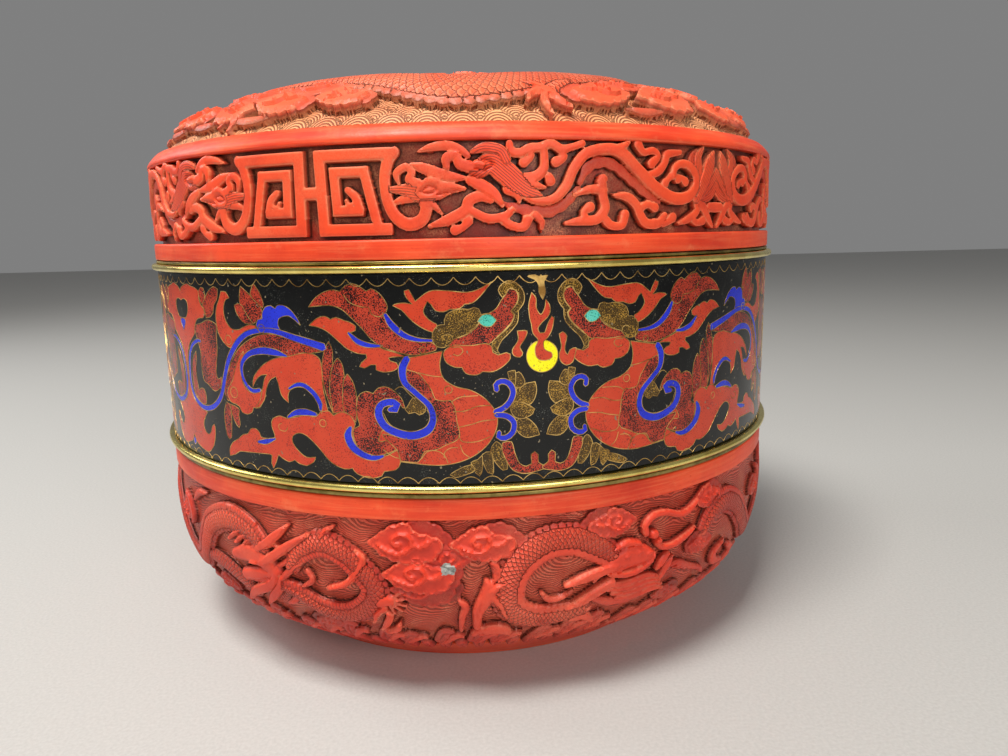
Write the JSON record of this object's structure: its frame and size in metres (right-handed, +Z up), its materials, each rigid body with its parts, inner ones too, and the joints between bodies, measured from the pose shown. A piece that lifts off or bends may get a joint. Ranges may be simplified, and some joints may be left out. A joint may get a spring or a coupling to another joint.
{
  "type": "carved lacquer and cloisonne box",
  "caption": "Round lidded box with a carved red lacquer lid and bowl, brass bound joints and a cloisonne wall of confronting dragons.",
  "frame": {"origin": "middle of the underside, at the level of the foot ring", "axes": "+Z up through the middle of the box; -Y is the front, where two cloisonne dragons face a pearl"},
  "size_m": [0.25, 0.25, 0.2012],
  "materials": {
    "red_lacquer": "carved cinnabar red lacquer, satin on the tops and dull in the recesses",
    "enamel": "polished cloisonne enamel, black ground with coloured cells and brass wires",
    "bright_brass": "polished bead",
    "dull_brass": "worn, brown in the joint"
  },
  "bodies": {
    "root": {"base_bowl": "red_lacquer", "base_brass_rim": "dull_brass", "band_lower_bead": "bright_brass", "cloisonne_band": "enamel", "band_upper_bead": "bright_brass", "lid_brass_rim": "dull_brass", "lid": "red_lacquer"}
  },
  "joints": []
}
